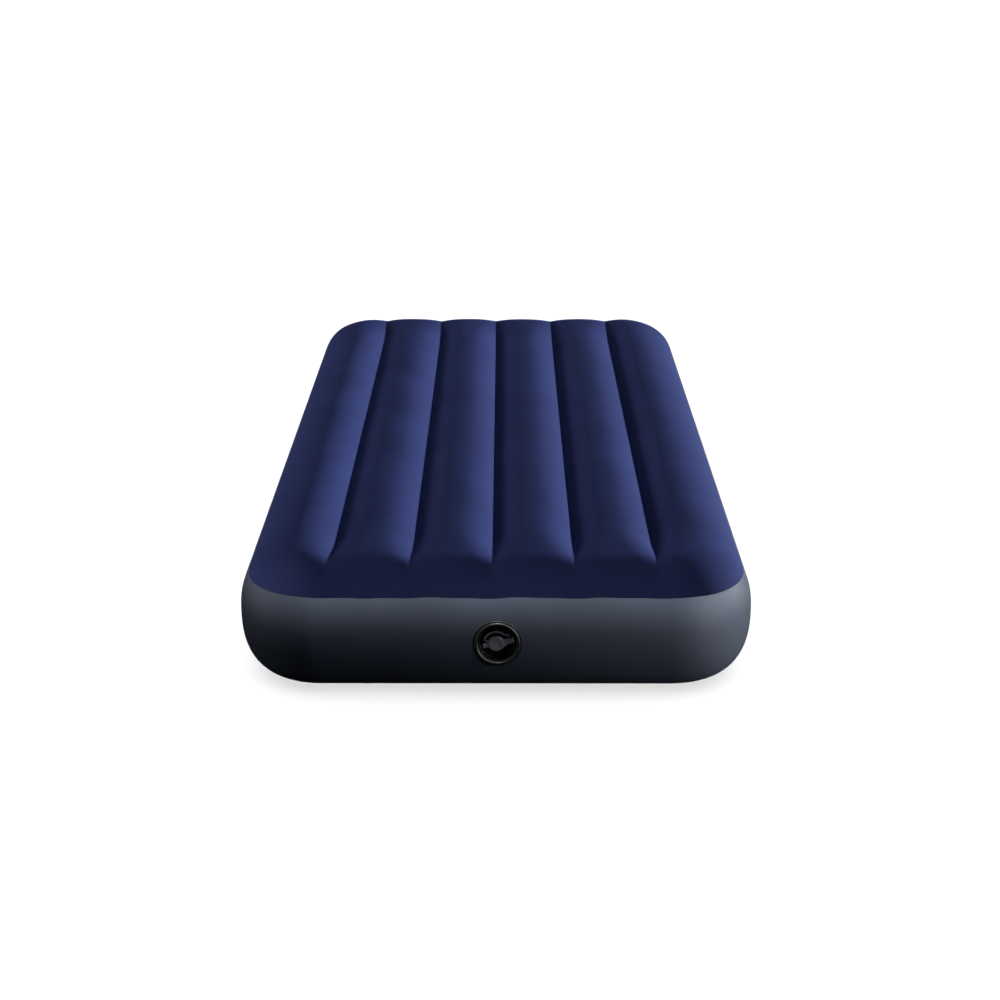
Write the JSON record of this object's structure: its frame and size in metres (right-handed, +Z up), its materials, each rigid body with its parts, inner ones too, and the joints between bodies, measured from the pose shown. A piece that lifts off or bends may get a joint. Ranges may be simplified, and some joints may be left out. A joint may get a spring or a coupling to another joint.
{
  "type": "air mattress",
  "caption": "Inflated single air mattress with lengthwise ribs, flocked top, bulging side wall and a recessed screw valve in the foot end.",
  "frame": {"origin": "centre of the underside, on the floor", "axes": "+X across the mattress, +Y along it from the valve end to the head end, +Z up"},
  "size_m": [0.99, 1.91, 0.25],
  "materials": {
    "flocked_top": "short velvety flock, navy",
    "wall_skin": "matt charcoal PVC sheet",
    "weld_tape": "dark PVC weld tape",
    "beam_film": "grey PVC film",
    "soft_black": "soft satin black PVC",
    "hard_black": "moulded satin black",
    "seal_rubber": "black rubber",
    "flap_silicone": "milky silicone",
    "cap_plastic": "satin dark grey moulding"
  },
  "bodies": {
    "mattress": {"top_panel": "flocked_top", "side_wall": "wall_skin", "bottom_panel": "wall_skin", "top_seam": "weld_tape", "bottom_seam": "weld_tape", "wall_joint_tape": "weld_tape", "beam_1": "beam_film", "beam_2": "beam_film", "beam_3": "beam_film", "beam_4": "beam_film", "beam_5": "beam_film", "valve_patch": "weld_tape", "valve_pocket": "soft_black", "valve_socket": "hard_black"},
    "gasket": {"plug_gasket": "seal_rubber"},
    "plug": {"valve_plug": "hard_black", "port_insert": "hard_black", "flap_pin": "hard_black", "cap_tether": "cap_plastic"},
    "flap": {"check_flap": "flap_silicone"},
    "seal": {"cap_seal": "seal_rubber"},
    "cap": {"inflation_cap": "cap_plastic"}
  },
  "joints": [
    {"name": "plug_travel", "type": "slide", "parent": "mattress", "child": "gasket", "axis": [0, -1, 0], "range_m": [0, 0.02]},
    {"name": "plug_turn", "type": "hinge", "parent": "gasket", "child": "plug", "pos_m": [0.003, -0.955, 0.1135], "axis": [0, -1, 0], "range_deg": [0, 900]},
    {"name": "flap_open", "type": "hinge", "parent": "plug", "child": "flap", "pos_m": [0.0005, -0.919, 0.128], "axis": [1, 0, 0], "range_deg": [0, 80], "stiffness_Nm_per_rad": 0.002, "springref_deg": -17.19},
    {"name": "cap_travel", "type": "slide", "parent": "plug", "child": "seal", "axis": [0, -1, 0], "range_m": [0, 0.008], "deforming": ["cap_tether"]},
    {"name": "cap_turn", "type": "hinge", "parent": "seal", "child": "cap", "pos_m": [0.0005, -0.955, 0.112], "axis": [0, -1, 0], "range_deg": [0, 720]}
  ],
  "couplings": [
    {"joint": "plug_travel", "follows": "plug_turn", "m_per_rad": 0.0012732},
    {"joint": "cap_travel", "follows": "cap_turn", "m_per_rad": 0.00063662}
  ]
}
